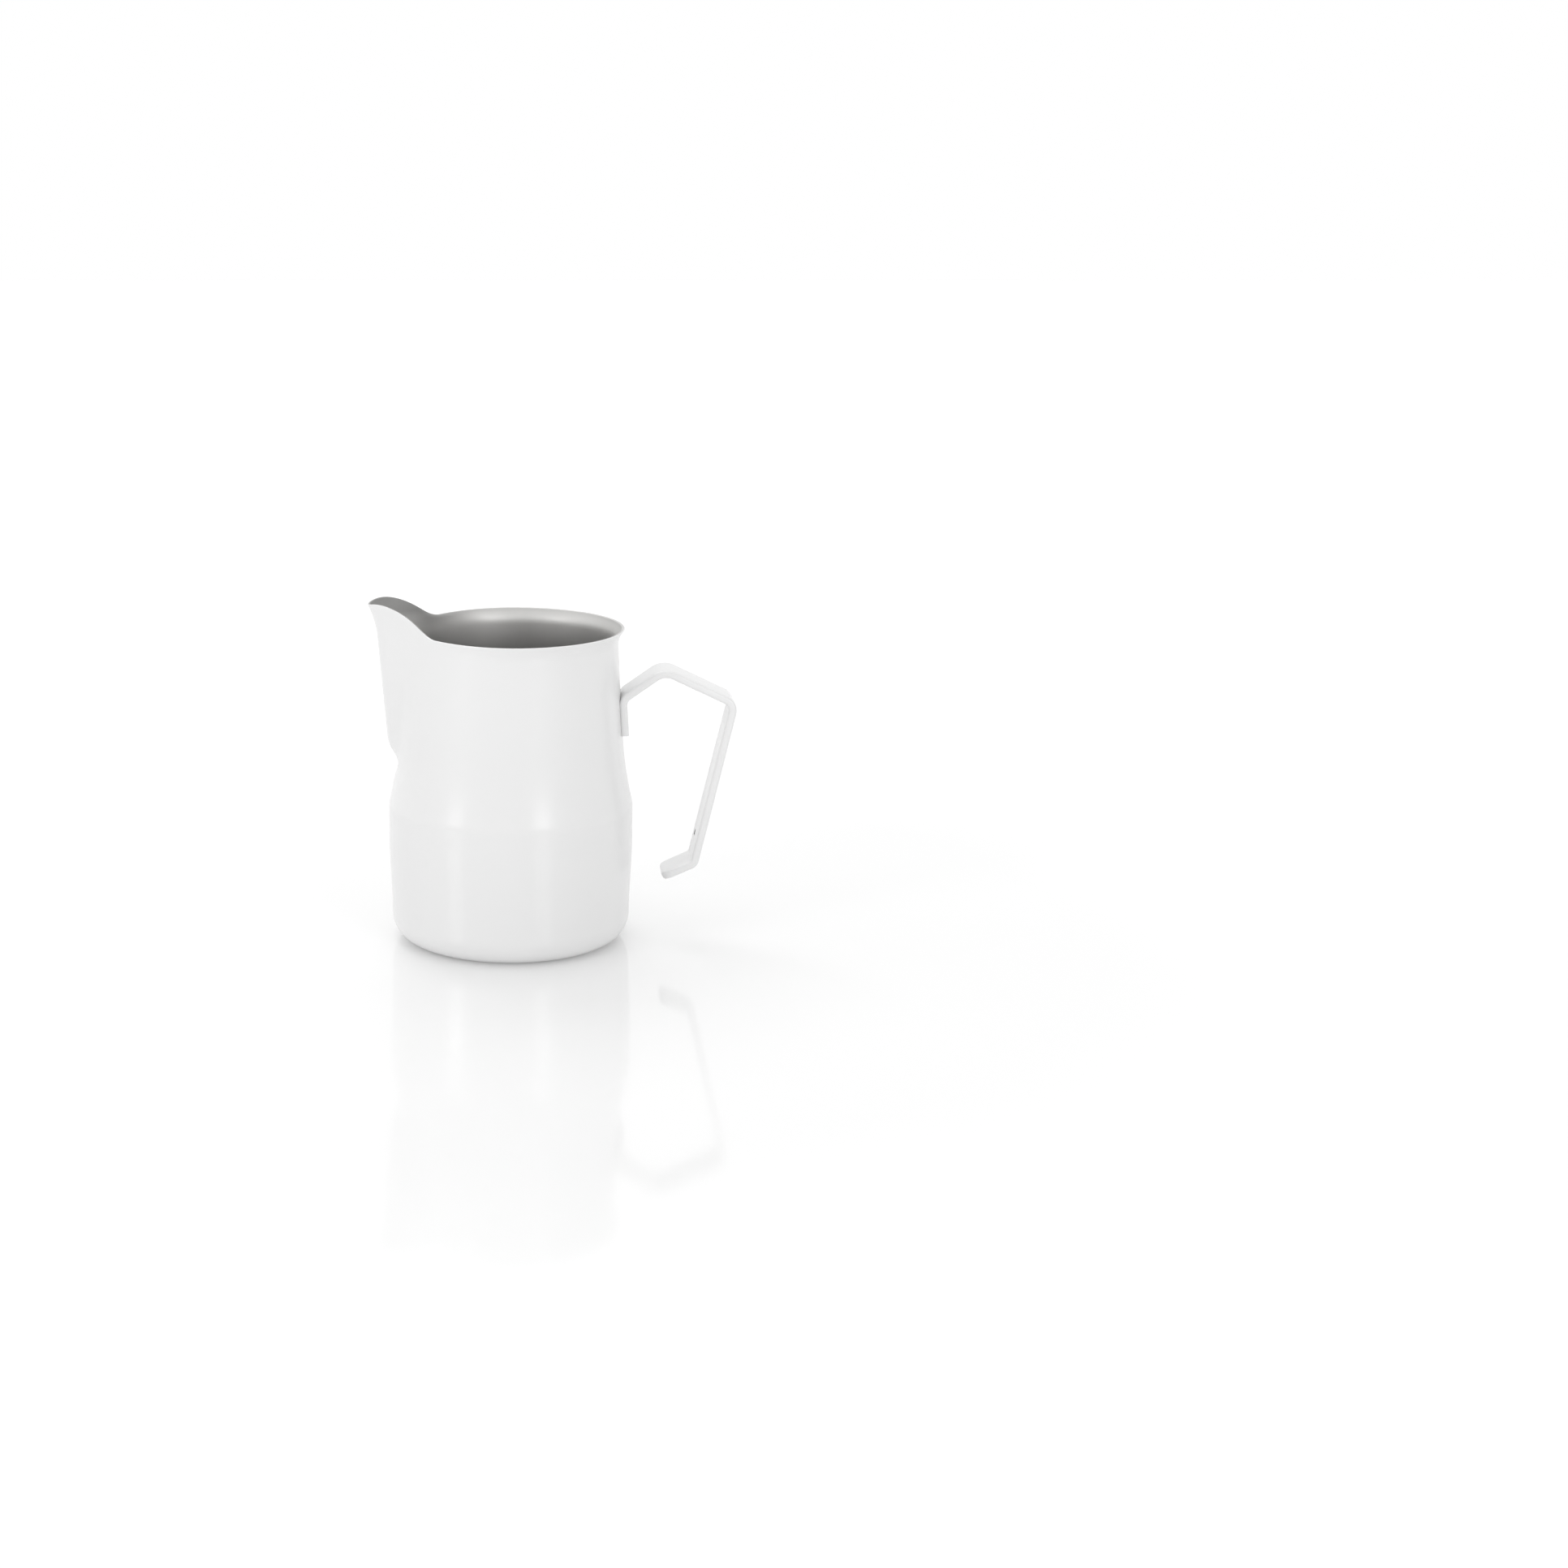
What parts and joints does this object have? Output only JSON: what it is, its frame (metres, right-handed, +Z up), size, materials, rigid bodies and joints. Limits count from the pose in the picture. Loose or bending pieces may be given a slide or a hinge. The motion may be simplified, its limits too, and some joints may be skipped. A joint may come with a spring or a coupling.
{
  "type": "milk frothing jug",
  "caption": "Straight-sided steel milk frothing jug with a drawn-in neck, a flared rim, a pressed pouring spout and an open strip handle fixed at its top end.",
  "frame": {"origin": "centre of the base on the vessel's axis, at the surface that the jug stands on", "axes": "+Z up along the vessel's axis, -X towards the spout, +X towards the handle, +Y across"},
  "size_m": [0.1229, 0.0824, 0.1154],
  "materials": {
    "jug_body": "gloss white lacquer outside, satin bare steel inside",
    "handle": "gloss white lacquer"
  },
  "bodies": {
    "root": {"jug_body": "jug_body", "handle": "handle"}
  },
  "joints": []
}
